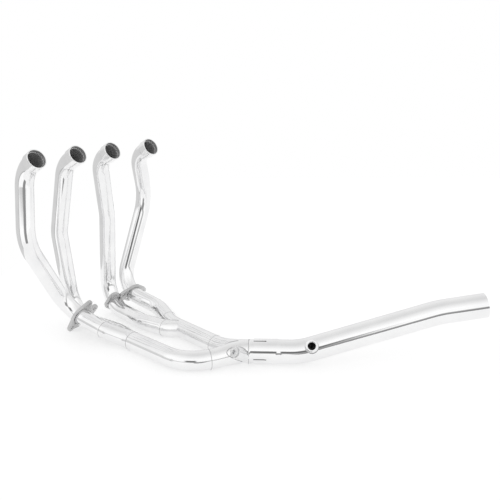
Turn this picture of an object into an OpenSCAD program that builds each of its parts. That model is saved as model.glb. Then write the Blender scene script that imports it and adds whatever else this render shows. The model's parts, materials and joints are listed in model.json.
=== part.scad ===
// Four-into-two-into-one exhaust header for an inline-four motorcycle, in
// polished stainless tube, standing on its own lower tubes.
// +X runs back to the tail, +Y to the side that the tail swings out to, +Z up.
// The origin lies on the floor, under the middle of the part.

/* [Head pipes] */
// Outer diameter of the four head pipes
head_od = 38.1; // [32:0.1:42]
// Wall of the head pipes
head_wall = 1.5; // [1:0.1:2.5]
// Centreline radius of the bend under each port
port_bend_r = 55; // [48:1:62]
// Centreline radius of the sweep half way down
mid_bend_r = 110; // [80:5:150]
// Centreline radius of the bend into the lower run
low_bend_r = 70; // [60:1:80]
// Drop from the ports to the axis of the inner lower runs
port_drop = 394; // [370:1:420]
// Extra height of the outer lower runs over the inner ones
outer_rise = 16; // [14:1:24]

/* [Ports] */
// Gap along the port row between pipes 2 and 3
inner_pitch = 95; // [85:1:105]
// Gap along the port row between pipes 1 and 2
left_pitch = 104; // [95:1:115]
// Gap along the port row between pipes 3 and 4
right_pitch = 118; // [105:1:125]
// Lean of the port axes from vertical
port_lean = 62; // [55:1:68]
// Length of each welded port collar
collar_length = 21; // [14:1:26]
// Wall of the port collars
collar_wall = 2; // [1.5:0.1:3]
// Depth of each tube end inside its collar
collar_recess = 7; // [4:1:10]
// Clearance between a collar and its tube
collar_gap = 0.1; // [0.05:0.05:0.3]

/* [Port flanges] */
// Thickness of the loose two-bolt flanges
flange_t = 7; // [5:0.5:10]
// Distance between the two bolt holes
flange_pitch = 62; // [58:1:70]
// Diameter of the bolt holes
flange_bolt_d = 8.5; // [6:0.5:10]
// Rim of metal round each bolt hole
flange_ear_rim = 6.5; // [5:0.5:8]
// Rim of metal round the pipe hole
flange_rim = 5; // [4:0.5:8]
// Radial clearance between a flange and its pipe
flange_play = 1.5; // [1:0.1:2]

/* [Collectors] */
// Outer diameter of the two secondary tubes
second_od = 41.3; // [38:0.1:44]
// Wall of the secondary tubes and collectors
second_wall = 1.5; // [1:0.1:2.5]
// Length of each two-into-one collector
collector_length = 62; // [50:1:80]
// Centreline radius of the bend in the left secondary
second_bend_r = 75; // [60:1:90]
// Outer diameter of the outlet stub
outlet_od = 49.6; // [46:0.1:52]
// Length of the outlet stub that shows ahead of the link pipe
outlet_show = 10; // [5:1:20]
// Length of the outlet stub inside the link pipe
outlet_insert = 38; // [25:1:45]

/* [Sensor bosses] */
// Outer diameter of the sensor bosses
boss_od = 26; // [22:1:30]
// Bore of the sensor bosses
boss_bore = 17; // [12:0.5:18]
// Height of a boss above its tube
boss_height = 9; // [6:1:14]

/* [Link pipe] */
// Outer diameter of the link pipe
link_od = 50.8; // [48:0.1:54]
// Wall of the link pipe
link_wall = 1.4; // [1:0.1:2.5]
// Length of the widened front socket
socket_length = 48; // [45:1:60]
// Clearance between the socket and the outlet stub
socket_gap = 0.2; // [0.1:0.05:0.4]
// Length of the slots in the socket
slot_length = 24; // [15:1:30]
// Width of the slots
slot_w = 2.4; // [1.5:0.1:4]
// Diameter of the hole that ends each slot
slot_hole_d = 4.5; // [3:0.5:6]
// Centreline radius of the first link pipe bend
link_bend_r = 150; // [120:5:180]
// Centreline radius of the second link pipe bend
tail_bend_r = 250; // [200:10:300]

/* [Hidden] */
$fn = 64;

// Where the middle of the port row lies from the origin
origin_x = -343.3;
origin_y = -95.9;
floor_z = port_drop + head_od / 2;
// Smooth bends are drawn this much slimmer, so that straight runs sleeve them
skin = 0.05;
// Length by which a straight run laps over a bend
lap = 1;

// The port row, from pipe 1 on the near side to pipe 4
port_y = [-inner_pitch / 2 - left_pitch, -inner_pitch / 2 - 3.5,
    inner_pitch / 2 - 3.5, inner_pitch / 2 + right_pitch - 3.5];
port_dir = [sin(port_lean), 0, cos(port_lean)];
low_z = -port_drop;
high_z = -port_drop + outer_rise;
// The secondaries and the front of the link pipe rest on the same floor
second_z = second_od / 2 - floor_z;
socket_od = outlet_od + 2 * (socket_gap + link_wall);
outlet_z = socket_od / 2 - floor_z;

function unit(v) = v / norm(v);
function along(a, b, t) = a + (b - a) * t;
// Direction from a to b
function heading(a, b) = unit(b - a);
function turn(a, b, c) = acos(heading(a, b) * heading(b, c));
function setback(a, b, c, r) = r * tan(turn(a, b, c) / 2);
function inward(a, b, c) =
    unit(heading(b, c) - heading(a, b) * (heading(b, c) * heading(a, b)));
function bend_start(a, b, c, r) = b - heading(a, b) * setback(a, b, c, r);
function bend_centre(a, b, c, r) = bend_start(a, b, c, r) + inward(a, b, c) * r;
// Point and heading on a bend, at a share t of its turn
function bend_point(a, b, c, r, t) = bend_centre(a, b, c, r)
    + r * (heading(a, b) * sin(turn(a, b, c) * t) - inward(a, b, c) * cos(turn(a, b, c) * t));
function bend_heading(a, b, c, t) =
    heading(a, b) * cos(turn(a, b, c) * t) + inward(a, b, c) * sin(turn(a, b, c) * t);
// A direction across z that lies as near level as it can
function level(z) = abs(z.z) > 0.999 ? [0, 1, 0] : unit(cross([0, 0, 1], z));

// Puts its children with their Z axis along z and their X axis level
module place(p, z, spin = 0) {
    x = level(z);
    y = cross(z, x);
    multmatrix([[x.x, y.x, z.x, p.x], [x.y, y.y, z.y, p.y], [x.z, y.z, z.z, p.z], [0, 0, 0, 1]])
        rotate([0, 0, spin]) children();
}

module stub(a, b, d) {
    place(a, heading(a, b)) cylinder(h = norm(b - a), d = d);
}

module elbow(a, b, c, r, d) {
    u = heading(a, b);
    m = inward(a, b, c);
    n = cross(u, m);
    p = bend_centre(a, b, c, r);
    multmatrix([[-m.x, u.x, n.x, p.x], [-m.y, u.y, n.y, p.y], [-m.z, u.z, n.z, p.z], [0, 0, 0, 1]])
        rotate_extrude(angle = turn(a, b, c), $fn = 120)
            translate([r, 0]) circle(d = d - 2 * skin);
}

// A round bar along straight runs and bends: radii[i] rounds corner i + 1
module bar(pts, radii, d, over = 0) {
    last = len(pts) - 1;
    for (i = [0:last - 1]) {
        u = heading(pts[i], pts[i + 1]);
        from = i == 0 ? pts[0] - u * over
            : pts[i] + u * (setback(pts[i - 1], pts[i], pts[i + 1], radii[i - 1]) - lap);
        to = i == last - 1 ? pts[last] + u * over
            : pts[i + 1] - u * (setback(pts[i], pts[i + 1], pts[i + 2], radii[i]) - lap);
        stub(from, to, d);
    }
    for (i = [1:last - 1])
        elbow(pts[i - 1], pts[i], pts[i + 1], radii[i - 1], d);
}

module pipe(pts, radii, od, wall) {
    difference() {
        bar(pts, radii, od);
        bar(pts, radii, od - 2 * wall, 1);
    }
}

// A tapering barrel between two round ends, each with its own heading
module lobe(a, za, da, b, zb, db) {
    hull() {
        place(a, za) cylinder(h = 0.4, d = da, $fn = 40);
        place(b - zb * 0.4, zb) cylinder(h = 0.4, d = db, $fn = 40);
    }
}

// Corner points of the head pipes from the middle of the port row
collector_x = 72;
merge_x = 138;
head_pts = [
    [[0, port_y[0], 0] - port_dir * collar_recess, [0, port_y[0], 0] - port_dir * port_bend_r,
        [-60, port_y[0] - 2, -183], [-32, -77, high_z + 18], [collector_x, -77, high_z]],
    [[0, port_y[1], 0] - port_dir * collar_recess, [0, port_y[1], 0] - port_dir * port_bend_r,
        [-70, port_y[1] - 15, -176], [-70, -42, low_z], [collector_x, -42, low_z]],
    [[0, port_y[2], 0] - port_dir * collar_recess, [0, port_y[2], 0] - port_dir * port_bend_r,
        [-62, port_y[2] + 22, -167], [-57, 45, low_z], [80, 45, low_z], [merge_x - 7, 38, low_z]],
    [[0, port_y[3], 0] - port_dir * collar_recess, [0, port_y[3], 0] - port_dir * port_bend_r,
        [-62, port_y[3] + 32, -130], [-46, 94, high_z + 11], [78, 92, high_z + 11], [merge_x, 73, high_z]]];
head_radii = [
    [port_bend_r, mid_bend_r, low_bend_r],
    [port_bend_r, mid_bend_r, low_bend_r],
    [port_bend_r, mid_bend_r, low_bend_r, 100],
    [port_bend_r, mid_bend_r, low_bend_r, 80]];
function last_of(p) = p[len(p) - 1];
function end_heading(p) = heading(p[len(p) - 2], last_of(p));

// Joints of the lower tubes
left_exit = [collector_x + collector_length, -60, second_z];
right_exit = [merge_x + collector_length, 54, second_z];
left_pts = [left_exit, [303, -60, second_z], [338, -27, second_z]];
right_end = [281, 54, second_z];
outlet_start = [383, 46, outlet_z];
first_corner = [470, 106, outlet_z];
outlet_dir = heading(outlet_start, first_corner);
link_start = outlet_start + outlet_dir * outlet_show;
link_pts = [link_start, first_corner, [685, 288, outlet_z + 80], [760, 344, outlet_z + 95]];

module head_pipe(i) {
    color("gainsboro") pipe(head_pts[i], head_radii[i], head_od, head_wall);
}

// The collar sleeves the tube end and stands proud of it by the recess
module port_collar(i) {
    inner = head_od / 2 + collar_gap;
    outer = inner + collar_wall;
    color("silver") place([0, port_y[i], 0], -port_dir)
        rotate_extrude() polygon([[inner, 0], [outer - 0.4, 0], [outer, 0.4],
            [outer, collar_length - 1.6], [inner + 0.4, collar_length], [inner, collar_length]]);
}

// Outline of a loose flange: a round middle and two bolt ears
module flange_outline() {
    hole = head_od + 2 * flange_play;
    ear = flange_bolt_d + 2 * flange_ear_rim;
    hull() {
        circle(d = hole + 2 * flange_rim);
        for (s = [-1, 1]) translate([s * flange_pitch / 2, 0]) circle(d = ear);
    }
}

// share is how far round the lower bend the flange has slid, spin its turn on the pipe
module port_flange(i, share, spin) {
    p = head_pts[i];
    at = bend_point(p[2], p[3], p[4], low_bend_r, share);
    z = bend_heading(p[2], p[3], p[4], share);
    color("dimgray") place(at, z) translate([0, -flange_play * 0.6, -flange_t / 2]) rotate([0, 0, spin])
        difference() {
            linear_extrude(flange_t) flange_outline();
            translate([0, 0, -1]) cylinder(h = flange_t + 2, d = head_od + 2 * flange_play);
            for (s = [-1, 1]) translate([s * flange_pitch / 2, 0, -1])
                cylinder(h = flange_t + 2, d = flange_bolt_d);
        }
}

// Two head pipes run into one tube through a pair of tapering lobes
module merge(p, q, exit, zx, d_exit, over = 0, cut = 0) {
    for (h = [p, q])
        lobe(last_of(h) - end_heading(h) * over, end_heading(h), head_od - cut,
            exit + zx * over, zx, d_exit - cut);
}

module left_collector() {
    x = [1, 0, 0];
    color("gainsboro") difference() {
        merge(head_pts[0], head_pts[1], left_exit, x, second_od);
        merge(head_pts[0], head_pts[1], left_exit, x, second_od, 0.5, 2 * second_wall);
    }
}

module left_secondary() {
    color("gainsboro") pipe(left_pts, [second_bend_r], second_od, second_wall);
}

// The right collector and its straight tube are one piece
module right_collector() {
    x = heading(right_exit, right_end);
    color("gainsboro") difference() {
        union() {
            merge(head_pts[2], head_pts[3], right_exit, x, second_od);
            stub(right_exit - x * 0.2, right_end, second_od);
        }
        merge(head_pts[2], head_pts[3], right_exit, x, second_od, 0.5, 2 * second_wall);
        stub(right_exit - x, right_end + x, second_od - 2 * second_wall);
    }
}

boss_at = [345, 18, second_z];
boss_dir = unit([0.12, -0.42, 0.9]);

module final_lobes(over = 0, cut = 0) {
    zr = heading(right_exit, right_end);
    zl = end_heading(left_pts);
    lobe(last_of(left_pts) - zl * over, zl, second_od - cut,
        outlet_start + outlet_dir * over, outlet_dir, outlet_od - cut);
    lobe(right_end - zr * over, zr, second_od - cut,
        outlet_start + outlet_dir * over, outlet_dir, outlet_od - cut);
}

module final_collector() {
    color("gainsboro") difference() {
        final_lobes();
        final_lobes(0.5, 2 * second_wall);
        place(boss_at, boss_dir) cylinder(h = 60, d = boss_od + 2 * collar_gap);
    }
}

module outlet_stub() {
    color("gainsboro") place(outlet_start, outlet_dir) difference() {
        cylinder(h = outlet_show + outlet_insert, d = outlet_od);
        translate([0, 0, -1])
            cylinder(h = outlet_show + outlet_insert + 2, d = outlet_od - 2 * second_wall);
    }
}

module collector_boss() {
    color("silver") place(boss_at + boss_dir * (second_od / 2 - 4), boss_dir) difference() {
        cylinder(h = boss_height + 4, d = boss_od);
        translate([0, 0, -1]) cylinder(h = boss_height + 6, d = boss_bore);
    }
}

// Blanking plug screwed into the boss
module collector_plug() {
    top = second_od / 2 + boss_height;
    color("gray") place(boss_at + boss_dir * (top - 9), boss_dir) difference() {
        union() {
            cylinder(h = 9.05, d = boss_bore - 0.2);
            translate([0, 0, 9.05]) cylinder(h = 2, d = boss_bore + 4);
        }
        translate([0, 0, 5]) cylinder(h = 7, d = 9, $fn = 6);
    }
}

link_t = 0.085;
link_boss_at = along(link_pts[1], link_pts[2], link_t);
link_axis = heading(link_pts[1], link_pts[2]);
link_boss_raw = [0.41, -0.73, 0.55];
link_boss_dir = unit(link_boss_raw - link_axis * (link_boss_raw * link_axis));

module link_pipe() {
    socket_id = outlet_od + 2 * socket_gap;
    color("gainsboro") difference() {
        union() {
            bar(link_pts, [link_bend_r, tail_bend_r], link_od);
            place(link_start, outlet_dir) {
                cylinder(h = socket_length, d = socket_od);
                translate([0, 0, socket_length])
                    cylinder(h = 6, d1 = socket_od, d2 = link_od - 0.2);
            }
        }
        bar(link_pts, [link_bend_r, tail_bend_r], link_od - 2 * link_wall, 1);
        place(link_start, outlet_dir) {
            translate([0, 0, -1]) cylinder(h = socket_length + 1, d = socket_id);
            for (k = [0:3]) rotate([0, 0, 45 + 90 * k]) {
                translate([0, -slot_w / 2, -1]) cube([link_od, slot_w, slot_length + 1]);
                translate([0, 0, slot_length]) rotate([0, 90, 0]) cylinder(h = link_od, d = slot_hole_d);
            }
        }
        place(link_boss_at, link_boss_dir) cylinder(h = link_od, d = boss_od + 2 * collar_gap);
    }
}

module link_boss() {
    color("silver") place(link_boss_at + link_boss_dir * (link_od / 2 - 4), link_boss_dir) difference() {
        cylinder(h = boss_height + 4, d = boss_od);
        translate([0, 0, -1]) cylinder(h = boss_height + 6, d = boss_bore);
    }
}

translate([origin_x, origin_y, floor_z]) {
    head_pipe(0);  // head_pipe_1
    head_pipe(1);  // head_pipe_2
    head_pipe(2);  // head_pipe_3
    head_pipe(3);  // head_pipe_4
    port_collar(0);  // port_collar_1
    port_collar(1);  // port_collar_2
    port_collar(2);  // port_collar_3
    port_collar(3);  // port_collar_4
    port_flange(0, 0.62, 36);  // port_flange_1
    port_flange(1, 0.5, 80);  // port_flange_2
    port_flange(2, 0.42, 90);  // port_flange_3
    port_flange(3, 0.75, 0);  // port_flange_4
    left_collector();
    left_secondary();
    right_collector();
    final_collector();
    outlet_stub();
    collector_boss();
    collector_plug();
    link_pipe();
    link_boss();
}
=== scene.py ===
# Looks of a four-into-two-into-one exhaust header in polished stainless tube.
# Sizes in the dictionaries are in millimetres and turns in degrees. Places are measured from the middle of
# the port row, and spot() turns them into metres of the frame.

import json
import math

import bmesh
import bpy
from mathutils import Matrix, Vector
from mathutils.bvhtree import BVHTree


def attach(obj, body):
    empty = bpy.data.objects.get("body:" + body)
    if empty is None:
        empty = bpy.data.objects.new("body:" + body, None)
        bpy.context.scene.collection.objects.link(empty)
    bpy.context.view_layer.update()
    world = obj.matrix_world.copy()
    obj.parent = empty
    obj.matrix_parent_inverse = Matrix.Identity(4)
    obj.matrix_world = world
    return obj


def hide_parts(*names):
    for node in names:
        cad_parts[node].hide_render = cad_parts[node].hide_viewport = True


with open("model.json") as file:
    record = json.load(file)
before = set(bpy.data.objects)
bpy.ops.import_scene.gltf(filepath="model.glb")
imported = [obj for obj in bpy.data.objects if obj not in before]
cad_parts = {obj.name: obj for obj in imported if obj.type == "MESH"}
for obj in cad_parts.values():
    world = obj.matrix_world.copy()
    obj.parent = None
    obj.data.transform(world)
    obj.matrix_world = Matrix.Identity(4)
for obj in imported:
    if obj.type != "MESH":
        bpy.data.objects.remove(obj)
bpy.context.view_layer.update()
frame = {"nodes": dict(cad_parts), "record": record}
mounts = {mount["name"]: mount for mount in frame["record"]["mounts"]}

mm = 0.001
sides = 96            # facets round a tube
bendSteps = 40        # points in each rounded corner
ringSpacing = 0.004   # metres between the rings of a tube
flowRadius = 0.019    # metres, so that marks are as wide round a tube as along it
tubeEdge = 0.25       # rounding of a cut tube end
straight = 0.001      # bend radius of a path that has no bend
flatAngle = 1         # degrees below which two faces count as one
doubles = 0.00001     # metres within which two points of a CAD node are one

# The port row, read from the frame's own mounts
mountDepth = 10   # from a mouth down to its mount
portAxis = Vector(mounts["port_1"]["axis"])
mouths = [Vector(mounts[f"port_{i}"]["pos_m"]) + portAxis * mountDepth * mm for i in (1, 2, 3, 4)]
rowOrigin = Vector((-343.3, -95.9, 413.05))   # its middle, in millimetres


def spot(x, y, z):
    return (rowOrigin + Vector((x, y, z))) * mm


def newNode(tree, kind, **settings):
    node = tree.nodes.new(kind)
    for name, value in settings.items():
        setattr(node, name, value)
    return node


def plug(tree, value, socket):
    if isinstance(value, bpy.types.NodeSocket):
        tree.links.new(value, socket)
    elif value is not None:
        socket.default_value = value


def plugAll(tree, node, values):
    for name, value in values.items():
        plug(tree, value, node.inputs[name])


def calc(tree, operation, *values):
    node = newNode(tree, "ShaderNodeMath", operation=operation)
    for value, socket in zip(values, node.inputs):
        plug(tree, value, socket)
    return node.outputs[0]


def mapRange(tree, value, fromMin, fromMax, toMin, toMax, kind="LINEAR"):
    node = newNode(tree, "ShaderNodeMapRange", interpolation_type=kind)
    plugAll(tree, node, {"Value": value, "From Min": fromMin, "From Max": fromMax,
                         "To Min": toMin, "To Max": toMax})
    return node.outputs["Result"]


def newGroup(name, kind, inputs, outputs):
    group = bpy.data.node_groups.new(name, kind)
    for label, socketType, value in inputs:
        socket = group.interface.new_socket(label, in_out="INPUT", socket_type=socketType)
        if value is not None:
            socket.default_value = value
    for label, socketType in outputs:
        group.interface.new_socket(label, in_out="OUTPUT", socket_type=socketType)
    return group, newNode(group, "NodeGroupInput"), newNode(group, "NodeGroupOutput")


def setInputs(modifier, values):
    for item in modifier.node_group.interface.items_tree:
        if item.item_type == "SOCKET" and item.in_out == "INPUT" and item.name in values:
            modifier[item.identifier] = values[item.name]


print("scene: building materials")


# Cloudy handling marks and fine polishing lines, shared by every bright finish
def makePolishGroup():
    group, ins, outs = newGroup("polishMarks", "ShaderNodeTree", [
        ("Vector", "NodeSocketVector", None),
        ("Cloud Scale", "NodeSocketFloat", 22.0),
        ("Line Scale", "NodeSocketFloat", 900.0),
        ("Line Stretch", "NodeSocketFloat", 0.03),
        ("Roughness", "NodeSocketFloat", 0.1),
        ("Roughness Spread", "NodeSocketFloat", 0.05),
    ], [("Tone", "NodeSocketFloat"), ("Roughness", "NodeSocketFloat"), ("Height", "NodeSocketFloat")])
    cloud = newNode(group, "ShaderNodeTexNoise")
    plugAll(group, cloud, {"Vector": ins.outputs["Vector"], "Scale": ins.outputs["Cloud Scale"], "Detail": 4})
    squeeze = newNode(group, "ShaderNodeCombineXYZ")
    plugAll(group, squeeze, {"X": 1, "Y": 1, "Z": ins.outputs["Line Stretch"]})
    stretched = newNode(group, "ShaderNodeVectorMath", operation="MULTIPLY")
    group.links.new(ins.outputs["Vector"], stretched.inputs[0])
    group.links.new(squeeze.outputs[0], stretched.inputs[1])
    lines = newNode(group, "ShaderNodeTexNoise")
    plugAll(group, lines, {"Vector": stretched.outputs[0], "Scale": ins.outputs["Line Scale"], "Detail": 2})
    tone = mapRange(group, cloud.outputs["Fac"], 0.3, 0.7, 0, 1)
    spread = calc(group, "MULTIPLY", calc(group, "SUBTRACT", tone, 0.5), ins.outputs["Roughness Spread"])
    rough = calc(group, "ADD", ins.outputs["Roughness"], spread)
    plugAll(group, outs, {"Tone": tone, "Roughness": rough, "Height": lines.outputs["Fac"]})
    return group


# Small pits and dull patches, shared by the rougher steel
def makePittingGroup():
    group, ins, outs = newGroup("steelPitting", "ShaderNodeTree", [
        ("Vector", "NodeSocketVector", None),
        ("Pit Scale", "NodeSocketFloat", 700.0),
        ("Patch Scale", "NodeSocketFloat", 60.0),
        ("Roughness", "NodeSocketFloat", 0.5),
        ("Roughness Spread", "NodeSocketFloat", 0.2),
    ], [("Patch", "NodeSocketFloat"), ("Roughness", "NodeSocketFloat"), ("Height", "NodeSocketFloat")])
    patch = newNode(group, "ShaderNodeTexNoise")
    plugAll(group, patch, {"Vector": ins.outputs["Vector"], "Scale": ins.outputs["Patch Scale"], "Detail": 5})
    pits = newNode(group, "ShaderNodeTexVoronoi")
    plugAll(group, pits, {"Vector": ins.outputs["Vector"], "Scale": ins.outputs["Pit Scale"]})
    dull = mapRange(group, patch.outputs["Fac"], 0.35, 0.65, 0, 1, "SMOOTHSTEP")
    spread = calc(group, "MULTIPLY", calc(group, "SUBTRACT", dull, 0.5), ins.outputs["Roughness Spread"])
    rough = calc(group, "ADD", ins.outputs["Roughness"], spread)
    height = mapRange(group, pits.outputs["Distance"], 0, 0.5, 0, 1)
    plugAll(group, outs, {"Patch": dull, "Roughness": rough, "Height": height})
    return group


polishMarks = makePolishGroup()
steelPitting = makePittingGroup()

# Each has a pattern, its darkest and palest colour, and "flow" where the marks follow the tube
finishes = {
    "tubePolish": {
        "group": polishMarks, "flow": True, "metallic": 1, "bump": 0.00002,
        "low": (0.86, 0.86, 0.865), "high": (0.93, 0.93, 0.93),
        "values": {"Roughness": 0.085, "Roughness Spread": 0.05}},
    "linkPolish": {
        "group": polishMarks, "flow": True, "metallic": 1, "bump": 0.00002,
        "low": (0.87, 0.87, 0.875), "high": (0.94, 0.94, 0.94),
        "values": {"Roughness": 0.075, "Roughness Spread": 0.04, "Cloud Scale": 14.0}},
    "collectorSatin": {
        "group": polishMarks, "flow": False, "metallic": 1, "bump": 0.00002,
        "low": (0.85, 0.85, 0.855), "high": (0.92, 0.92, 0.92),
        "values": {"Roughness": 0.1, "Roughness Spread": 0.05, "Line Stretch": 1.0}},
    "turnedCollar": {
        "group": polishMarks, "flow": False, "metallic": 1, "bump": 0.00002,
        "low": (0.86, 0.86, 0.86), "high": (0.92, 0.92, 0.92),
        "values": {"Roughness": 0.11, "Roughness Spread": 0.04, "Line Stretch": 1.0}},
    "boreDull": {
        "group": steelPitting, "flow": False, "metallic": 0.1, "bump": 0.00001,
        "low": (0.34, 0.34, 0.34), "high": (0.42, 0.42, 0.42),
        "values": {"Roughness": 0.6, "Roughness Spread": 0.2}},
    "flangeSteel": {
        "group": steelPitting, "flow": False, "metallic": 1, "bump": 0.0001,
        "low": (0.56, 0.56, 0.56), "high": (0.7, 0.7, 0.7),
        "values": {"Roughness": 0.55, "Roughness Spread": 0.2}},
    "bossSteel": {
        "group": polishMarks, "flow": False, "metallic": 1, "bump": 0.00002,
        "low": (0.8, 0.8, 0.81), "high": (0.88, 0.88, 0.88),
        "values": {"Roughness": 0.2, "Roughness Spread": 0.08, "Line Stretch": 1.0}},
    "plugSteel": {
        "group": steelPitting, "flow": False, "metallic": 1, "bump": 0.00004,
        "low": (0.74, 0.74, 0.75), "high": (0.86, 0.86, 0.86),
        "values": {"Roughness": 0.35, "Roughness Spread": 0.15, "Pit Scale": 1200.0}},
    "weldMetal": {
        "group": polishMarks, "flow": False, "metallic": 1, "bump": 0.00002,
        "low": (0.36, 0.36, 0.37), "high": (0.52, 0.52, 0.52),
        "values": {"Roughness": 0.3, "Roughness Spread": 0.1, "Line Stretch": 1.0}},
}


def makeMaterial(name, finish):
    material = bpy.data.materials.new(name)
    material.use_nodes = True
    tree = material.node_tree
    shader = tree.nodes["Principled BSDF"]
    shader.inputs["Metallic"].default_value = finish["metallic"]
    if finish["flow"]:
        place = newNode(tree, "ShaderNodeAttribute", attribute_name="tubeFlow").outputs["Vector"]
    else:
        place = newNode(tree, "ShaderNodeTexCoord").outputs["Object"]
    marks = newNode(tree, "ShaderNodeGroup", node_tree=finish["group"])
    tree.links.new(place, marks.inputs["Vector"])
    for label, value in finish["values"].items():
        marks.inputs[label].default_value = value
    tint = newNode(tree, "ShaderNodeMix", data_type="RGBA")
    tree.links.new(marks.outputs[0], tint.inputs["Factor"])
    tint.inputs["A"].default_value = (*finish["low"], 1)
    tint.inputs["B"].default_value = (*finish["high"], 1)
    tree.links.new(tint.outputs["Result"], shader.inputs["Base Color"])
    tree.links.new(marks.outputs["Roughness"], shader.inputs["Roughness"])
    bump = newNode(tree, "ShaderNodeBump")
    bump.inputs["Distance"].default_value = finish["bump"]
    tree.links.new(marks.outputs["Height"], bump.inputs["Height"])
    tree.links.new(bump.outputs["Normal"], shader.inputs["Normal"])
    return material


materials = {name: makeMaterial(name, finish) for name, finish in finishes.items()}

print("scene: building geometry trees")


# A round shell swept along a path with rounded corners, wider or narrower at its start
def makeTubeTree():
    tree, ins, outs = newGroup("sweptTube", "GeometryNodeTree", [
        ("Geometry", "NodeSocketGeometry", None),
        ("Diameter", "NodeSocketFloat", 0.0381),
        ("Start Diameter", "NodeSocketFloat", 0.0381),
        ("Start Length", "NodeSocketFloat", 0.0),
        ("Step Length", "NodeSocketFloat", 0.006),
        ("Ring Spacing", "NodeSocketFloat", 0.004),
        ("Sides", "NodeSocketInt", 96),
        ("Material", "NodeSocketMaterial", None),
    ], [("Geometry", "NodeSocketGeometry")])
    curve = newNode(tree, "GeometryNodeMeshToCurve")
    tree.links.new(ins.outputs["Geometry"], curve.inputs["Mesh"])
    bend = newNode(tree, "GeometryNodeInputNamedAttribute", data_type="FLOAT")
    bend.inputs["Name"].default_value = "bendRadius"
    fillet = newNode(tree, "GeometryNodeFilletCurve", mode="POLY")
    fillet.inputs["Count"].default_value = bendSteps
    tree.links.new(curve.outputs["Curve"], fillet.inputs["Curve"])
    tree.links.new(bend.outputs["Attribute"], fillet.inputs["Radius"])
    even = newNode(tree, "GeometryNodeResampleCurve", mode="LENGTH")
    tree.links.new(fillet.outputs["Curve"], even.inputs["Curve"])
    tree.links.new(ins.outputs["Ring Spacing"], even.inputs["Length"])
    along = newNode(tree, "GeometryNodeSplineParameter").outputs["Length"]
    stepEnd = calc(tree, "ADD", ins.outputs["Start Length"], ins.outputs["Step Length"])
    extra = calc(tree, "SUBTRACT", ins.outputs["Start Diameter"], ins.outputs["Diameter"])
    atStart = mapRange(tree, along, ins.outputs["Start Length"], stepEnd, extra, 0, "SMOOTHSTEP")
    width = calc(tree, "ADD", ins.outputs["Diameter"], atStart)
    marked = newNode(tree, "GeometryNodeStoreNamedAttribute", data_type="FLOAT", domain="POINT")
    marked.inputs["Name"].default_value = "along"
    tree.links.new(even.outputs["Curve"], marked.inputs["Geometry"])
    tree.links.new(along, marked.inputs["Value"])
    profile = newNode(tree, "GeometryNodeCurvePrimitiveCircle", mode="RADIUS")
    tree.links.new(ins.outputs["Sides"], profile.inputs["Resolution"])
    profile.inputs["Radius"].default_value = 1
    ring = newNode(tree, "GeometryNodeStoreNamedAttribute", data_type="FLOAT_VECTOR", domain="POINT")
    ring.inputs["Name"].default_value = "ringSpot"
    tree.links.new(profile.outputs["Curve"], ring.inputs["Geometry"])
    tree.links.new(newNode(tree, "GeometryNodeInputPosition").outputs[0], ring.inputs["Value"])
    swept = newNode(tree, "GeometryNodeCurveToMesh")
    tree.links.new(marked.outputs["Geometry"], swept.inputs["Curve"])
    tree.links.new(ring.outputs["Geometry"], swept.inputs["Profile Curve"])
    tree.links.new(calc(tree, "MULTIPLY", width, 0.5), swept.inputs["Scale"])
    flow = newNode(tree, "ShaderNodeVectorMath", operation="MULTIPLY_ADD")
    ringRead = newNode(tree, "GeometryNodeInputNamedAttribute", data_type="FLOAT_VECTOR")
    ringRead.inputs["Name"].default_value = "ringSpot"
    alongRead = newNode(tree, "GeometryNodeInputNamedAttribute", data_type="FLOAT")
    alongRead.inputs["Name"].default_value = "along"
    lift = newNode(tree, "ShaderNodeCombineXYZ")
    tree.links.new(alongRead.outputs["Attribute"], lift.inputs["Z"])
    tree.links.new(ringRead.outputs["Attribute"], flow.inputs[0])
    flow.inputs[1].default_value = (flowRadius, flowRadius, 0)
    tree.links.new(lift.outputs[0], flow.inputs[2])
    stored = newNode(tree, "GeometryNodeStoreNamedAttribute", data_type="FLOAT_VECTOR", domain="POINT")
    stored.inputs["Name"].default_value = "tubeFlow"
    tree.links.new(swept.outputs["Mesh"], stored.inputs["Geometry"])
    tree.links.new(flow.outputs["Vector"], stored.inputs["Value"])
    finishTree(tree, stored.outputs["Geometry"], ins, outs)
    return tree


# Every tree ends with shading, real instances and a material
def finishTree(tree, geometry, ins, outs):
    smooth = newNode(tree, "GeometryNodeSetShadeSmooth")
    tree.links.new(geometry, smooth.inputs["Geometry"])
    real = newNode(tree, "GeometryNodeRealizeInstances")
    tree.links.new(smooth.outputs["Geometry"], real.inputs["Geometry"])
    dressed = newNode(tree, "GeometryNodeSetMaterial")
    tree.links.new(real.outputs["Geometry"], dressed.inputs["Geometry"])
    tree.links.new(ins.outputs["Material"], dressed.inputs["Material"])
    tree.links.new(dressed.outputs["Geometry"], outs.inputs["Geometry"])


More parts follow.
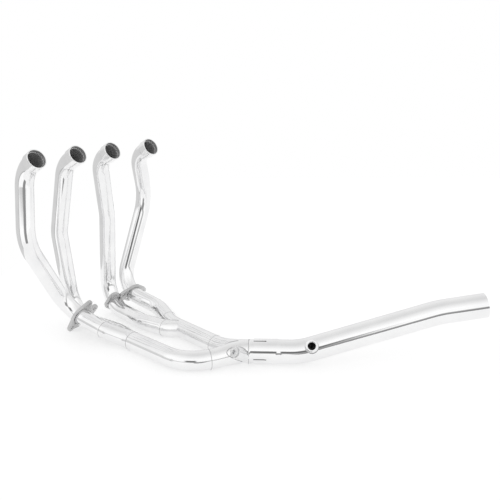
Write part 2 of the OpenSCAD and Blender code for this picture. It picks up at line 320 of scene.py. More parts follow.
# A round cord of metal along a path, its thickness rippled by the welder's steps
def makeBeadTree():
    tree, ins, outs = newGroup("weldBead", "GeometryNodeTree", [
        ("Geometry", "NodeSocketGeometry", None),
        ("Radius", "NodeSocketFloat", 0.0013),
        ("Ripple", "NodeSocketFloat", 0.1),
        ("Pitch", "NodeSocketFloat", 0.0016),
        ("Spacing", "NodeSocketFloat", 0.0004),
        ("Sides", "NodeSocketInt", 10),
        ("Material", "NodeSocketMaterial", None),
    ], [("Geometry", "NodeSocketGeometry")])
    curve = newNode(tree, "GeometryNodeMeshToCurve")
    tree.links.new(ins.outputs["Geometry"], curve.inputs["Mesh"])
    even = newNode(tree, "GeometryNodeResampleCurve", mode="LENGTH")
    tree.links.new(curve.outputs["Curve"], even.inputs["Curve"])
    tree.links.new(ins.outputs["Spacing"], even.inputs["Length"])
    along = newNode(tree, "GeometryNodeSplineParameter").outputs["Length"]
    turn = calc(tree, "MULTIPLY", calc(tree, "DIVIDE", along, ins.outputs["Pitch"]), 2 * math.pi)
    wave = calc(tree, "MULTIPLY", calc(tree, "SINE", turn), ins.outputs["Ripple"])
    thick = calc(tree, "MULTIPLY", ins.outputs["Radius"], calc(tree, "ADD", wave, 1))
    profile = newNode(tree, "GeometryNodeCurvePrimitiveCircle", mode="RADIUS")
    tree.links.new(ins.outputs["Sides"], profile.inputs["Resolution"])
    profile.inputs["Radius"].default_value = 1
    swept = newNode(tree, "GeometryNodeCurveToMesh")
    swept.inputs["Fill Caps"].default_value = True
    tree.links.new(even.outputs["Curve"], swept.inputs["Curve"])
    tree.links.new(profile.outputs["Curve"], swept.inputs["Profile Curve"])
    tree.links.new(thick, swept.inputs["Scale"])
    finishTree(tree, swept.outputs["Mesh"], ins, outs)
    return tree


# The crests of a female thread, as one ridge that winds up a bore
def makeThreadTree():
    tree, ins, outs = newGroup("threadRidge", "GeometryNodeTree", [
        ("Geometry", "NodeSocketGeometry", None),
        ("Bore", "NodeSocketFloat", 0.017),
        ("Pitch", "NodeSocketFloat", 0.0015),
        ("Length", "NodeSocketFloat", 0.012),
        ("Material", "NodeSocketMaterial", None),
    ], [("Geometry", "NodeSocketGeometry")])
    spiral = newNode(tree, "GeometryNodeCurveSpiral")
    spiral.inputs["Resolution"].default_value = 48
    half = calc(tree, "MULTIPLY", ins.outputs["Bore"], 0.5)
    turns = calc(tree, "DIVIDE", ins.outputs["Length"], ins.outputs["Pitch"])
    plugAll(tree, spiral, {"Rotations": turns, "Start Radius": half, "End Radius": half,
                           "Height": ins.outputs["Length"]})
    profile = newNode(tree, "GeometryNodeCurvePrimitiveCircle", mode="RADIUS")
    profile.inputs["Resolution"].default_value = 6
    ridge = 0.38   # radius as a share of the pitch
    tree.links.new(calc(tree, "MULTIPLY", ins.outputs["Pitch"], ridge), profile.inputs["Radius"])
    swept = newNode(tree, "GeometryNodeCurveToMesh")
    swept.inputs["Fill Caps"].default_value = True
    tree.links.new(spiral.outputs["Curve"], swept.inputs["Curve"])
    tree.links.new(profile.outputs["Curve"], swept.inputs["Profile Curve"])
    finishTree(tree, swept.outputs["Mesh"], ins, outs)
    return tree


tubeTree = makeTubeTree()
beadTree = makeBeadTree()
threadTree = makeThreadTree()


def newObject(name, mesh):
    piece = bpy.data.objects.new(name, mesh)
    bpy.context.scene.collection.objects.link(piece)
    return piece


# Turns a piece and its modifiers into one plain mesh
def settle(piece, sharpAngle=35):
    bpy.context.view_layer.update()
    graph = bpy.context.evaluated_depsgraph_get()
    mesh = bpy.data.meshes.new_from_object(
        piece.evaluated_get(graph), preserve_all_data_layers=True, depsgraph=graph)
    piece.modifiers.clear()
    piece.data = mesh
    if sharpAngle:
        mesh.set_sharp_from_angle(angle=math.radians(sharpAngle))
    return piece


def dropObject(piece):
    bpy.data.objects.remove(piece, do_unlink=True)


def keepPiece(piece, slot, *nodes):
    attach(piece, "root")
    if nodes:
        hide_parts(*nodes)
    return piece


# Axes with Z along a direction and X as level as it can be, as the CAD source has them
def axesAt(point, axis, spin=0):
    z = axis.normalized()
    x = Vector((0, 0, 1)).cross(z).normalized()
    y = z.cross(x)
    turned = Matrix((x, y, z)).transposed().to_4x4() @ Matrix.Rotation(math.radians(spin), 4, "Z")
    return Matrix.Translation(point) @ turned


def routeObject(name, points, bends):
    mesh = bpy.data.meshes.new(name)
    mesh.from_pydata(points, [(i, i + 1) for i in range(len(points) - 1)], [])
    radius = mesh.attributes.new("bendRadius", "FLOAT", "POINT")
    radius.data.foreach_set("value", [0.0] + [bend * mm for bend in bends] + [0.0])
    return newObject(name, mesh)


def addWall(piece, wall):
    shell = piece.modifiers.new("wall", "SOLIDIFY")
    shell.thickness = wall * mm
    shell.offset = -1
    shell.use_even_offset = True
    shell.material_offset = 1


def roundEdges(piece, width, segments=2, angle=50):
    rounding = piece.modifiers.new("edges", "BEVEL")
    rounding.width = width * mm
    rounding.segments = segments
    rounding.limit_method = "ANGLE"
    rounding.angle_limit = math.radians(angle)
    rounding.harden_normals = True


def cutWith(piece, cutter, operation="DIFFERENCE"):
    cut = piece.modifiers.new("cut", "BOOLEAN")
    cut.object = cutter
    cut.operation = operation
    cut.solver = "EXACT"


def sweepTube(name, points, bends, size, finish):
    piece = routeObject(name, points, bends)
    sweep = piece.modifiers.new("sweep", "NODES")
    sweep.node_group = tubeTree
    setInputs(sweep, {
        "Diameter": size["outer"] * mm,
        "Start Diameter": size.get("socketOuter", size["outer"]) * mm,
        "Start Length": float(size.get("socket", 0)) * mm,
        "Step Length": float(size.get("step", 6)) * mm,
        "Ring Spacing": ringSpacing,
        "Sides": sides,
        "Material": materials[finish]})
    settle(piece, 0)
    piece.data.materials.clear()
    piece.data.materials.append(materials[finish])
    piece.data.materials.append(materials["boreDull"])
    addWall(piece, size["wall"])
    return piece


print("scene: sweeping the tubes")

headPipe = {"outer": 38.1, "wall": 1.5, "recess": 7,
            "portBend": 55, "midBend": 110, "lowBend": 70, "mergeBend": 80}
lowZ = -394
highZ = -378
collectorX = 72
# Corners below the port bend: half way down, at the lower bend, then along the lower run
headRoutes = [
    [(-39, -171, -178), (-51, -71, highZ + 18), (collectorX, -71, highZ)],
    [(-84, -56, -182), (-82, -36, lowZ), (collectorX, -36, lowZ)],
    [(-64, 68.5, -160.6), (-86.5, 71, lowZ), (77, 39, lowZ), (144, 43, lowZ)],
    [(-69, 199, -136), (-71, 105, highZ + 20), (54, 115, highZ - 8), (117.5, 83, -391.8)],
]


def headRoute(i):
    start = [mouths[i] - portAxis * headPipe["recess"] * mm, mouths[i] - portAxis * headPipe["portBend"] * mm]
    return start + [spot(*corner) for corner in headRoutes[i]]


headPoints = [headRoute(i) for i in range(4)]
for i in range(4):
    bends = [headPipe["portBend"], headPipe["midBend"], headPipe["lowBend"]]
    bends += [headPipe["mergeBend"]] * (len(headPoints[i]) - len(bends) - 2)
    tube = sweepTube(f"headPipe{i + 1}", headPoints[i], bends, headPipe, "tubePolish")
    roundEdges(tube, tubeEdge)
    settle(tube)
    keepPiece(tube, "head_tube", f"head_pipe_{i + 1}")

secondTube = {"outer": 41.3, "wall": 1.5, "bend": 75}
secondZ = -392.4
leftExit = (144, -53.4, secondZ)
leftCorner = (305, -67, secondZ)
leftEnd = (335, -22.5, secondZ)
leftPoints = [spot(*leftExit), spot(*leftCorner), spot(*leftEnd)]
leftTube = sweepTube("leftSecondary", leftPoints, [secondTube["bend"]], secondTube, "tubePolish")
keepPiece(settle(leftTube), "lower_tube", "left_secondary")

outletStub = {"outer": 49.6, "wall": 1.5, "show": 10, "insert": 38}
outletZ = -386.65
outletStart = spot(383, 46, outletZ)
firstCorner = spot(470, 106, outletZ)
outletAxis = (firstCorner - outletStart).normalized()
stubEnd = outletStart + outletAxis * (outletStub["show"] + outletStub["insert"]) * mm
stubPoints = [outletStart, (outletStart + stubEnd) / 2, stubEnd]
stubTube = sweepTube("outletStub", stubPoints, [straight], outletStub, "tubePolish")
roundEdges(stubTube, tubeEdge)
keepPiece(settle(stubTube), "lower_tube", "outlet_stub")


def cylinderInto(bm, matrix, radius, low, high, segments=64):
    found = bmesh.ops.create_cone(bm, cap_ends=True, segments=segments, depth=(high - low) * mm,
                                  radius1=radius * mm, radius2=radius * mm)
    shift = Matrix.Translation((0, 0, (low + high) / 2 * mm))
    bmesh.ops.transform(bm, matrix=matrix @ shift, verts=found["verts"])


def boxInto(bm, matrix, low, high):
    found = bmesh.ops.create_cube(bm, size=1)
    centre = (Vector(low) + Vector(high)) / 2 * mm
    span = (Vector(high) - Vector(low)) * mm
    place = matrix @ Matrix.Translation(centre) @ Matrix.Diagonal((*span, 1))
    bmesh.ops.transform(bm, matrix=place, verts=found["verts"])


def meshFrom(name, bm):
    mesh = bpy.data.meshes.new(name)
    bm.to_mesh(mesh)
    bm.free()
    return newObject(name, mesh)


# Faces cut by this piece take the second material of what it cuts
def markCutter(cutter, piece):
    for material in piece.data.materials:
        cutter.data.materials.append(material)
    for face in cutter.data.polygons:
        face.material_index = 1


linkPipe = {"outer": 50.8, "wall": 1.4, "socket": 48, "socketOuter": 52.8, "step": 6,
            "bends": [150, 250], "slotLength": 24, "slotWidth": 2.8, "slotHole": 4.5, "slotTurn": 14,
            "slotDeep": 10, "slotOver": 3, "bossDeep": 8}
linkCorners = [firstCorner, spot(685, 288, outletZ + 80), spot(760, 344, outletZ + 95)]

boss = {"outer": 26, "bore": 17, "gap": 0.1, "threadPitch": 1.5, "threadLength": 10, "round": 0.5}
linkStart = outletStart + outletAxis * outletStub["show"] * mm
sensorAt = Vector(mounts["sensor_bore"]["pos_m"])
sensorAxis = Vector(mounts["sensor_bore"]["axis"])
sensorHoleStart = sensorAt - sensorAxis * linkPipe["outer"] / 2 * mm


# The drilled ends are cut apart from the slots, so that neither cutter crosses itself
def linkCutters():
    slots = bmesh.new()
    holes = bmesh.new()
    size = linkPipe
    half = size["slotWidth"] / 2
    inside, outside = size["slotDeep"], size["outer"]
    for k in range(4):
        around = axesAt(linkStart, outletAxis, size["slotTurn"] + 90 * k)
        boxInto(slots, around, (inside, -half, -size["slotOver"]), (outside, half, size["slotLength"]))
        slotEnd = around @ Matrix.Translation((0, 0, size["slotLength"] * mm))
        outward = slotEnd @ Matrix.Rotation(math.radians(90), 4, "Y")
        cylinderInto(holes, outward, size["slotHole"] / 2, inside, outside, 32)
    holeR = boss["outer"] / 2 + boss["gap"]
    cylinderInto(holes, axesAt(sensorHoleStart, sensorAxis), holeR, size["bossDeep"], outside)
    return meshFrom("slotCutter", slots), meshFrom("holeCutter", holes)


linkTube = sweepTube("linkPipe", [linkStart] + linkCorners, linkPipe["bends"], linkPipe, "linkPolish")
cutters = linkCutters()
for cutter in cutters:
    markCutter(cutter, linkTube)
    cutWith(linkTube, cutter)
settle(linkTube)
keepPiece(linkTube, "link_tube", "link_pipe")
for cutter in cutters:
    dropObject(cutter)

print("scene: forming the collectors")

# The hollow runs "over" past the ends; a seam is an edge of more than "crease" degrees, "clear" of the ends
collectorSkin = {"rings": 28, "over": 0.6, "crease": 14, "clear": 1.0, "sharp": 28}


# Rings between two round ends that each keep their own heading
def lobeStations(start, startAxis, startRadius, end, endAxis, endRadius):
    reach = (end - start).length
    count = collectorSkin["rings"]
    stations = []
    for k in range(count + 1):
        t = k / count
        a = 2 * t ** 3 - 3 * t ** 2 + 1
        b = t ** 3 - 2 * t ** 2 + t
        c = -2 * t ** 3 + 3 * t ** 2
        d = t ** 3 - t ** 2
        centre = start * a + startAxis * reach * b + end * c + endAxis * reach * d
        heading = (start * (6 * t * t - 6 * t) + startAxis * reach * (3 * t * t - 4 * t + 1)
                   + end * (6 * t - 6 * t * t) + endAxis * reach * (3 * t * t - 2 * t))
        stations.append((centre, heading.normalized(), startRadius + (endRadius - startRadius) * c))
    return stations


def ringPoints(matrix, radius, count):
    turns = [2 * math.pi * j / count for j in range(count)]
    corners = [(radius * mm * math.cos(turn), radius * mm * math.sin(turn), 0) for turn in turns]
    return [matrix @ Vector(corner) for corner in corners]


def wrapRings(bm, pairs):
    for low, high in pairs:
        for j in range(len(low)):
            bm.faces.new((low[j], low[(j + 1) % len(low)], high[(j + 1) % len(low)], high[j]))


def smoothFaces(bm):
    for face in bm.faces:
        face.smooth = True


def skinObject(name, stations, thinner=0, over=0, turn=0):
    bm = bmesh.new()
    first, last = stations[0], stations[-1]
    if over:
        stations = [(first[0] - first[1] * over * mm, first[1], first[2])] + stations
        stations = stations + [(last[0] + last[1] * over * mm, last[1], last[2])]
    rings = []
    for centre, heading, radius in stations:
        points = ringPoints(axesAt(centre, heading, turn), radius - thinner, sides)
        rings.append([bm.verts.new(point) for point in points])
    wrapRings(bm, zip(rings, rings[1:]))
    bm.faces.new(list(reversed(rings[0])))
    bm.faces.new(rings[-1])
    smoothFaces(bm)
    bmesh.ops.recalc_face_normals(bm, faces=bm.faces)
    return meshFrom(name, bm)


def endOf(points):
    return points[-1], (points[-1] - points[-2]).normalized()


def routeAxis(a, b):
    return (Vector(b) - Vector(a)).normalized()


# Edges where the two lobes of a collector meet, away from its open ends
def creaseEdges(piece, planes):
    angle, clear = collectorSkin["crease"], collectorSkin["clear"]
    bm = bmesh.new()
    bm.from_mesh(piece.data)
    kept = []
    for edge in bm.edges:
        if len(edge.link_faces) != 2 or edge.calc_face_angle(0) < math.radians(angle):
            continue
        if all(all(abs((v.co - p).dot(n)) > clear * mm for v in edge.verts) for p, n in planes):
            kept.append([v.co.copy() for v in edge.verts])
    bm.free()
    return kept


beadPaths = []


# Two tapering lobes are joined, hollowed and opened at their ends
# The second lobe is turned by half a facet, so that the two never lie face on face
def makeCollector(name, lobes, wall, extraCutter=None):
    turns = [0, 180 / sides]
    body = skinObject(name, lobes[0])
    lobe = skinObject(f"{name}Lobe", lobes[1], turn=turns[1])
    cutWith(body, lobe, "UNION")
    settle(body, 0)
    planes = [(stations[end][0], stations[end][1]) for stations in lobes for end in (0, -1)]
    beadPaths.extend(creaseEdges(body, planes))
    over = collectorSkin["over"]
    inners = [skinObject(f"{name}Inner", stations, wall, over, turn) for stations, turn in zip(lobes, turns)]
    for inner in inners:
        cutWith(body, inner)
    if extraCutter:
        cutWith(body, extraCutter)
    settle(body, collectorSkin["sharp"])
    for spare in [lobe] + inners:
        dropObject(spare)
    body.data.materials.clear()
    body.data.materials.append(materials["collectorSatin"])
    return body


rightExit = (190, 58.5, secondZ)
rightEnd = (298, 40, secondZ)
leftAxis = routeAxis(leftExit, leftCorner)
rightAxis = routeAxis(rightExit, rightEnd)
tubeR = headPipe["outer"] / 2
secondR = secondTube["outer"] / 2


def headLobe(i, place, axis):
    return lobeStations(*endOf(headPoints[i]), tubeR, spot(*place), axis, secondR)


leftLobes = [headLobe(i, leftExit, leftAxis) for i in (0, 1)]
keepPiece(makeCollector("leftCollector", leftLobes, headPipe["wall"]), "collector_sheet", "left_collector")

rightLobes = [headLobe(i, rightExit, rightAxis) for i in (2, 3)]
rightLobes[0].append((spot(*rightEnd), rightAxis, secondR))
keepPiece(makeCollector("rightCollector", rightLobes, headPipe["wall"]), "collector_sheet", "right_collector")

outletR = outletStub["outer"] / 2
finalLobes = [lobeStations(*endOf(leftPoints), secondR, outletStart, outletAxis, outletR),
              lobeStations(spot(*rightEnd), rightAxis, secondR, outletStart, outletAxis, outletR)]

collectorBossAt = spot(382.7, 18.3, -382.7)
collectorBossAxis = Vector((-0.23, -0.835, 0.5)).normalized()
# It leans against the flow, so its foot is sunk deep below the sheet that it is welded into
leaningBoss = {"height": 15, "sunk": 14, "holeFrom": -20, "holeTo": 40}
bossHole = bmesh.new()
cylinderInto(bossHole, axesAt(collectorBossAt, collectorBossAxis), boss["outer"] / 2 + boss["gap"],
             leaningBoss["holeFrom"], leaningBoss["holeTo"])
bossCutter = meshFrom("bossCutter", bossHole)
finalCollector = makeCollector("finalCollector", finalLobes, headPipe["wall"], bossCutter)
dropObject(bossCutter)
keepPiece(finalCollector, "collector_sheet", "final_collector")

print("scene: dressing the small parts")


# A copy of a CAD node, merged from its loose triangles and given rounded edges
def softenedCopy(name, node, finish, width):
    bm = bmesh.new()
    bm.from_mesh(frame["nodes"][node].data)
    bmesh.ops.remove_doubles(bm, verts=bm.verts, dist=doubles)
    bmesh.ops.dissolve_limit(bm, angle_limit=math.radians(flatAngle), verts=bm.verts, edges=bm.edges)
    smoothFaces(bm)
    piece = meshFrom(name, bm)
    piece.data.materials.append(materials[finish])
    roundEdges(piece, width)
    return settle(piece, 0)


def ringPath(centre, axis, radius, count=sides):
    return ringPoints(axesAt(centre, axis), radius, count)


# A ring turned on a lathe: its outline is a closed list of radius and height along the axis
def makeTurned(name, outline, point, axis, finish, width, segments=3, angle=25):
    bm = bmesh.new()
    rings = []
    for radius, height in outline:
        rings.append([bm.verts.new(corner) for corner in ringPath(point + axis * height * mm, axis, radius)])
    wrapRings(bm, zip(rings, rings[1:] + rings[:1]))
    smoothFaces(bm)
    bmesh.ops.recalc_face_normals(bm, faces=bm.faces)
    piece = meshFrom(name, bm)
    piece.data.materials.append(materials[finish])
    roundEdges(piece, width, segments, angle)
    return settle(piece, 0)


portCollar = {"length": 21, "wall": 2, "gap": 0.1, "lip": 0.5, "taper": 1.6, "foot": 0.4, "round": 0.35}


# A port collar, its lip rounded over the crush seat and its inner wall as dull as the bore below
def makeCollar(i):
    inner = headPipe["outer"] / 2 + portCollar["gap"]
    outer = inner + portCollar["wall"]
    lip, length = portCollar["lip"], portCollar["length"]
    outline = [(inner, 0), (outer - lip, 0), (outer, lip), (outer, length - portCollar["taper"]),
               (inner + portCollar["foot"], length), (inner, length)]
    name = f"portCollar{i + 1}"
    collar = makeTurned(name, outline, mouths[i], -portAxis, "turnedCollar", portCollar["round"])
    collar.data.materials.append(materials["boreDull"])
    for face in collar.data.polygons:
        outward = face.center - mouths[i]
        outward -= portAxis * outward.dot(portAxis)
        if face.normal.dot(outward.normalized()) < -0.9:   # the inner wall
            face.material_index = 1
    return collar


for i in range(4):
    keepPiece(makeCollar(i), "port_collar", f"port_collar_{i + 1}")

portFlange = {"thick": 6, "pitch": 62, "boltHole": 8.5, "earRim": 6.5, "rim": 5, "play": 1.5, "hang": 0.6,
              "round": 0.7, "slide": [0.77, 0.68, 0.59, 0.77], "spin": [54, 36, 108, 174]}


# Place and axis part of the way round the rounded corner b of a route
def bendPlace(a, b, c, radius, share):
    before, after = (b - a).normalized(), (c - b).normalized()
    turn = before.angle(after)
    inward = (after - before * after.dot(before)).normalized()
    centre = b - before * radius * math.tan(turn / 2) + inward * radius
    swing = turn * share
    point = centre + (before * math.sin(swing) - inward * math.cos(swing)) * radius
    return point, before * math.cos(swing) + inward * math.sin(swing)


# A loose two-bolt flange that hangs on the lower bend of its pipe: the hull of three discs, then drilled
def makeFlange(i):
    size = portFlange
    point, axis = bendPlace(*headPoints[i][2:5], headPipe["lowBend"] * mm, size["slide"][i])
    place = axesAt(point, axis) @ Matrix.Translation((0, -size["play"] * size["hang"] * mm, 0))
    place = place @ Matrix.Rotation(math.radians(size["spin"][i]), 4, "Z")
    pipeHole = headPipe["outer"] / 2 + size["play"]
    bolts = [place @ Matrix.Translation((side * size["pitch"] / 2 * mm, 0, 0)) for side in (-1, 1)]
    half = size["thick"] / 2
    body = bmesh.new()
    cylinderInto(body, place, pipeHole + size["rim"], -half, half, sides)
    for bolt in bolts:
        cylinderInto(body, bolt, size["boltHole"] / 2 + size["earRim"], -half, half, 64)
    bmesh.ops.delete(body, geom=body.faces[:] + body.edges[:], context="EDGES_FACES")
    hull = bmesh.ops.convex_hull(body, input=body.verts)
    loose = hull["geom_interior"] + hull["geom_unused"]
    spare = {item for item in loose if isinstance(item, bmesh.types.BMVert)}
    bmesh.ops.delete(body, geom=list(spare), context="VERTS")
    bmesh.ops.dissolve_limit(body, angle_limit=math.radians(flatAngle), verts=body.verts, edges=body.edges)
    smoothFaces(body)
    bmesh.ops.recalc_face_normals(body, faces=body.faces)
    flange = meshFrom(f"portFlange{i + 1}", body)
    flange.data.materials.append(materials["flangeSteel"])
    holes = bmesh.new()
    cylinderInto(holes, place, pipeHole, -size["thick"], size["thick"], sides)
    for bolt in bolts:
        cylinderInto(holes, bolt, size["boltHole"] / 2, -size["thick"], size["thick"], 48)
    drill = meshFrom("flangeDrill", holes)
    cutWith(flange, drill)
    roundEdges(flange, size["round"])
    settle(flange, 0)
    dropObject(drill)
    return flange


for i in range(4):
    keepPiece(makeFlange(i), "flange_plate", f"port_flange_{i + 1}")

bossFoot = collectorBossAt - collectorBossAxis * leaningBoss["sunk"] * mm
bossHeight = leaningBoss["height"] + leaningBoss["sunk"]
boreR, bossR = boss["bore"] / 2, boss["outer"] / 2
bossOutline = [(boreR, 0), (bossR, 0), (bossR, bossHeight), (boreR, bossHeight)]
turnedBoss = makeTurned("collectorBoss", bossOutline, bossFoot, collectorBossAxis, "bossSteel", boss["round"])
keepPiece(turnedBoss, "sensor_boss", "collector_boss")
keepPiece(softenedCopy("linkBoss", "link_boss", "bossSteel", boss["round"]), "sensor_boss", "link_boss")

plugSize = {"stem": 16.8, "stemLength": 9.05, "overlap": 0.1, "head": 21,
            "headLength": 5, "hex": 9, "hexDepth": 6, "round": 0.4, "sharp": 30}


# The blanking plug, with a socket for a hex key
def makePlug():
    size = plugSize
    place = axesAt(bossFoot + collectorBossAxis * (bossHeight - size["stemLength"]) * mm, collectorBossAxis)
    top = size["stemLength"] + size["headLength"]
    body, head, socket = bmesh.new(), bmesh.new(), bmesh.new()
    cylinderInto(body, place, size["stem"] / 2, 0, size["stemLength"] + size["overlap"], sides)
    cylinderInto(head, place, size["head"] / 2, size["stemLength"], top, sides)
    cylinderInto(socket, place, size["hex"] / 2, top - size["hexDepth"], top + size["headLength"], 6)
    piece = meshFrom("collectorPlug", body)
    headPiece = meshFrom("plugHead", head)
    cutter = meshFrom("hexCutter", socket)
    piece.data.materials.append(materials["plugSteel"])
    cutWith(piece, headPiece, "UNION")
    cutWith(piece, cutter)
    roundEdges(piece, size["round"], angle=40)
    settle(piece, 0)
    piece.data.shade_smooth()
    piece.data.set_sharp_from_angle(angle=math.radians(size["sharp"]))
    dropObject(headPiece)
    dropObject(cutter)
    return piece


keepPiece(makePlug(), "blanking_plug", "collector_plug")


def makeThread(name, centre, axis):
    piece = newObject(name, bpy.data.meshes.new(name))
    wind = piece.modifiers.new("wind", "NODES")
    wind.node_group = threadTree
    setInputs(wind, {"Bore": boss["bore"] * mm, "Pitch": boss["threadPitch"] * mm,
                     "Length": boss["threadLength"] * mm, "Material": materials["bossSteel"]})
    settle(piece, 0)
    piece.data.transform(axesAt(centre - axis * boss["threadLength"] / 2 * mm, axis))
    return piece


keepPiece(makeThread("sensorThread", sensorAt, sensorAxis), "sensor_boss")

# "reach" is how far out the rays start that find a boss's foot, "clear" how far a bead stands off its tube
weldBead = {"radius": 0.85, "proud": 0.3, "pitch": 1.6, "ripple": 0.1, "spacing": 0.4, "sides": 10,
            "join": 0.02, "reach": 40, "clear": 0.3}


# The line where a boss stands on the curved sheet below it
def saddlePath(target, point, axis, radius, count=72):
    mesh = target.data
    sheet = BVHTree.FromPolygons([v.co for v in mesh.vertices], [p.vertices for p in mesh.polygons])
    path = []
    for corner in ringPath(point + axis * weldBead["reach"] * mm, axis, radius, count):
        hit = sheet.ray_cast(corner, -axis)[0]
        if hit:
            path.append(hit)
    return path


def closedEdges(path):
    return [[path[j], path[(j + 1) % len(path)]] for j in range(len(path))]


sunk = weldBead["radius"] - weldBead["proud"]
seams = [(spot(*leftExit), leftAxis, secondR), (spot(*rightEnd), rightAxis, secondR),
         (leftPoints[-1], routeAxis(leftCorner, leftEnd), secondR), (outletStart, outletAxis, outletR)]
seams += [(headPoints[i][-1], endOf(headPoints[i])[1], tubeR) for i in range(4)]
collarFoot = portAxis * portCollar["length"] * mm
seams += [(mouths[i] - collarFoot, portAxis, tubeR + weldBead["clear"]) for i in range(4)]
for centre, axis, radius in seams:
    beadPaths.extend(closedEdges(ringPath(centre, axis, radius - sunk)))
bossWeldR = boss["outer"] / 2 + weldBead["clear"]
beadPaths.extend(closedEdges(saddlePath(finalCollector, collectorBossAt, collectorBossAxis, bossWeldR)))
beadPaths.extend(closedEdges(saddlePath(linkTube, sensorHoleStart, sensorAxis, bossWeldR)))


def makeBeads(name, edges):
    bm = bmesh.new()
    for a, b in edges:
        bm.edges.new((bm.verts.new(a), bm.verts.new(b)))
    bmesh.ops.remove_doubles(bm, verts=bm.verts, dist=weldBead["join"] * mm)
    piece = meshFrom(name, bm)
    lay = piece.modifiers.new("lay", "NODES")
    lay.node_group = beadTree
    setInputs(lay, {
        "Radius": weldBead["radius"] * mm, "Ripple": weldBead["ripple"], "Pitch": weldBead["pitch"] * mm,
        "Spacing": weldBead["spacing"] * mm, "Sides": weldBead["sides"], "Material": materials["weldMetal"]})
    return settle(piece, 0)


keepPiece(makeBeads("weldBeads", beadPaths), "collector_sheet")

print("scene: setting the studio")

camera = {"at": (0.729, -0.9534, 0.5514), "heading": -37.19, "tilt": 15.22, "roll": -0.19,
          "lens": 43.2, "sensor": 36}


def makeCamera():
    data = bpy.data.cameras.new("camera")
    data.lens = camera["lens"]
    data.sensor_width = camera["sensor"]
    view = bpy.data.objects.new("camera", data)
    view.location = camera["at"]
    heading = Matrix.Rotation(math.radians(-camera["heading"]), 4, "Z")
    tilt = Matrix.Rotation(math.radians(90 - camera["tilt"]), 4, "X")
    roll = Matrix.Rotation(math.radians(camera["roll"]), 4, "Z")
    view.rotation_euler = (heading @ tilt @ roll).to_euler()
    bpy.context.scene.collection.objects.link(view)
    bpy.context.scene.camera = view


# In degrees: bearings run from the camera towards its right, heights from the horizon up
studio = {
    "white": 1.1,
    "back": {"tone": 0.9, "from": 70, "to": 110},
    "dome": {"tone": 0.77, "from": 40, "to": 86},
    "side": {"tone": 0.7, "from": -140, "to": -53, "soft": 4},
    "post": {"tone": 0.42, "from": -60, "to": -54, "soft": 2},
    "sideTop": {"height": 14, "soft": 8},
    "band": {"tone": 0.5, "farTone": 0.7, "from": -8, "to": 70, "soft": 6,
             "low": 4, "high": 12, "softUp": 1.5},
    "near": {"tone": 0.16, "from": -22, "to": 5, "soft": 5, "low": 10, "high": 26, "softUp": 2},
    "figure": {"tone": 0.3, "from": 0, "to": 30, "soft": 2, "low": -34, "high": 8, "softUp": 2},
}


# A soft step that opens between two values and closes between two more
def softWindow(tree, value, low, high, soft):
    opens = mapRange(tree, value, low - soft, low + soft, 0, 1, "SMOOTHSTEP")
    closes = mapRange(tree, value, high - soft, high + soft, 1, 0, "SMOOTHSTEP")
    return calc(tree, "MULTIPLY", opens, closes)


def blend(tree, factor, a, b):
    node = newNode(tree, "ShaderNodeMix", data_type="FLOAT")
    plugAll(tree, node, {"Factor": factor, "A": a, "B": b})
    return node.outputs["Result"]


def dotWith(tree, vector, fixed):
    node = newNode(tree, "ShaderNodeVectorMath", operation="DOT_PRODUCT")
    tree.links.new(vector, node.inputs[0])
    node.inputs[1].default_value = fixed
    return node.outputs["Value"]


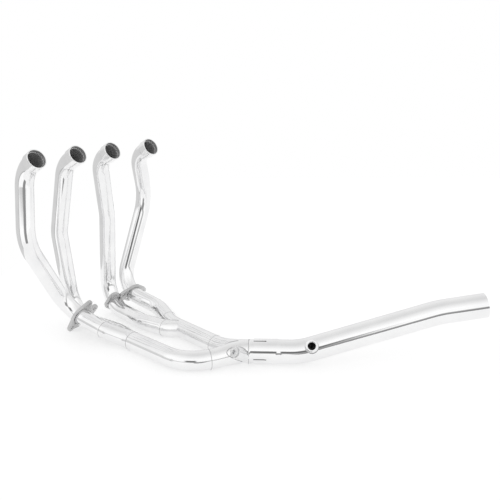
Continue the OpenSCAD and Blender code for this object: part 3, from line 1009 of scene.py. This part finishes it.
# White for the camera. Light and gloss see a pale room with a darker ceiling, a grey wall on the left that
# ends in a dark post, a thin grey band above the horizon, a dark patch round the camera and a grey figure
# to its right
def makeWorld():
    world = bpy.data.worlds.new("studio")
    bpy.context.scene.world = world
    world.use_nodes = True
    tree = world.node_tree
    tree.nodes.clear()
    turn = math.radians(camera["heading"])
    towards = Vector((-math.sin(turn), -math.cos(turn), 0))
    rightward = Vector((math.cos(turn), -math.sin(turn), 0))
    direction = newNode(tree, "ShaderNodeTexCoord").outputs["Generated"]
    toDegrees = 180 / math.pi
    around = calc(tree, "ARCTAN2", dotWith(tree, direction, rightward), dotWith(tree, direction, towards))
    bearing = calc(tree, "MULTIPLY", around, toDegrees)
    height = calc(tree, "MULTIPLY", calc(tree, "ARCSINE", dotWith(tree, direction, (0, 0, 1))), toDegrees)

    def between(patch):
        return softWindow(tree, bearing, patch["from"], patch["to"], patch["soft"])

    def heightOf(patch):
        return softWindow(tree, height, patch["low"], patch["high"], patch["softUp"])

    back, dome = studio["back"], studio["dome"]
    distance = calc(tree, "ABSOLUTE", bearing)
    tone = mapRange(tree, distance, back["from"], back["to"], studio["white"], back["tone"], "SMOOTHSTEP")
    tone = mapRange(tree, height, dome["from"], dome["to"], tone, dome["tone"])
    top, soft = studio["sideTop"]["height"], studio["sideTop"]["soft"]
    lowSide = mapRange(tree, height, top - soft, top + soft, 1, 0, "SMOOTHSTEP")
    for name in ("side", "post"):
        patch = studio[name]
        tone = blend(tree, calc(tree, "MULTIPLY", between(patch), lowSide), tone, patch["tone"])
    band = studio["band"]
    tone = blend(tree, heightOf(band), tone, blend(tree, between(band), band["farTone"], band["tone"]))
    for name in ("near", "figure"):
        patch = studio[name]
        tone = blend(tree, calc(tree, "MULTIPLY", between(patch), heightOf(patch)), tone, patch["tone"])
    room = newNode(tree, "ShaderNodeBackground")
    plugAll(tree, room, {"Strength": tone, "Color": (1, 1, 1, 1)})
    plain = newNode(tree, "ShaderNodeBackground")
    plugAll(tree, plain, {"Strength": 1, "Color": (1, 1, 1, 1)})
    choose = newNode(tree, "ShaderNodeMixShader")
    tree.links.new(newNode(tree, "ShaderNodeLightPath").outputs["Is Camera Ray"], choose.inputs["Fac"])
    tree.links.new(room.outputs[0], choose.inputs[1])
    tree.links.new(plain.outputs[0], choose.inputs[2])
    tree.links.new(choose.outputs[0], newNode(tree, "ShaderNodeOutputWorld").inputs["Surface"])


# In metres from the middle of the frame, turned with the camera
floorLook = {
    "half": 2.5, "front": 0.55, "left": 0.75, "stepFrom": 0.1, "stepTo": 0.3, "stepFront": 1.3,
    "drop": 0.0004, "paint": 0.5, "glow": 0.58, "gloss": 0.96}


# A white table top whose front edge lies short of the camera, so that gloss sees the studio past it
# It glows a little for the camera and for gloss, and still takes shadow
def makeFloor():
    bm = bmesh.new()
    half, front, left = floorLook["half"], floorLook["front"], floorLook["left"]
    turned = Matrix.Rotation(math.radians(-camera["heading"]), 4, "Z")
    far = floorLook["stepFront"]
    outline = ((-left, -front), (floorLook["stepFrom"], -front), (floorLook["stepTo"], -far),
               (half, -far), (half, half), (-left, half))
    corners = [bm.verts.new(turned @ Vector((x, y, -floorLook["drop"]))) for x, y in outline]
    bm.faces.new(corners)
    floor = meshFrom("floor", bm)
    material = bpy.data.materials.new("floorPaper")
    material.use_nodes = True
    tree = material.node_tree
    tree.nodes.clear()
    paper = newNode(tree, "ShaderNodeBsdfDiffuse")
    paper.inputs["Color"].default_value = (floorLook["paint"],) * 3 + (1,)
    glow = newNode(tree, "ShaderNodeEmission")
    path = newNode(tree, "ShaderNodeLightPath")
    mirrored = calc(tree, "MAXIMUM", path.outputs["Is Glossy Ray"], path.outputs["Is Transmission Ray"])
    dimmed = calc(tree, "MULTIPLY", mirrored, floorLook["gloss"])
    seen = calc(tree, "MAXIMUM", path.outputs["Is Camera Ray"], dimmed)
    tree.links.new(calc(tree, "MULTIPLY", seen, floorLook["glow"]), glow.inputs["Strength"])
    both = newNode(tree, "ShaderNodeAddShader")
    tree.links.new(paper.outputs[0], both.inputs[0])
    tree.links.new(glow.outputs[0], both.inputs[1])
    tree.links.new(both.outputs[0], newNode(tree, "ShaderNodeOutputMaterial").inputs["Surface"])
    floor.data.materials.append(material)


makeCamera()
makeWorld()
makeFloor()
bpy.context.scene.view_settings.view_transform = "Standard"
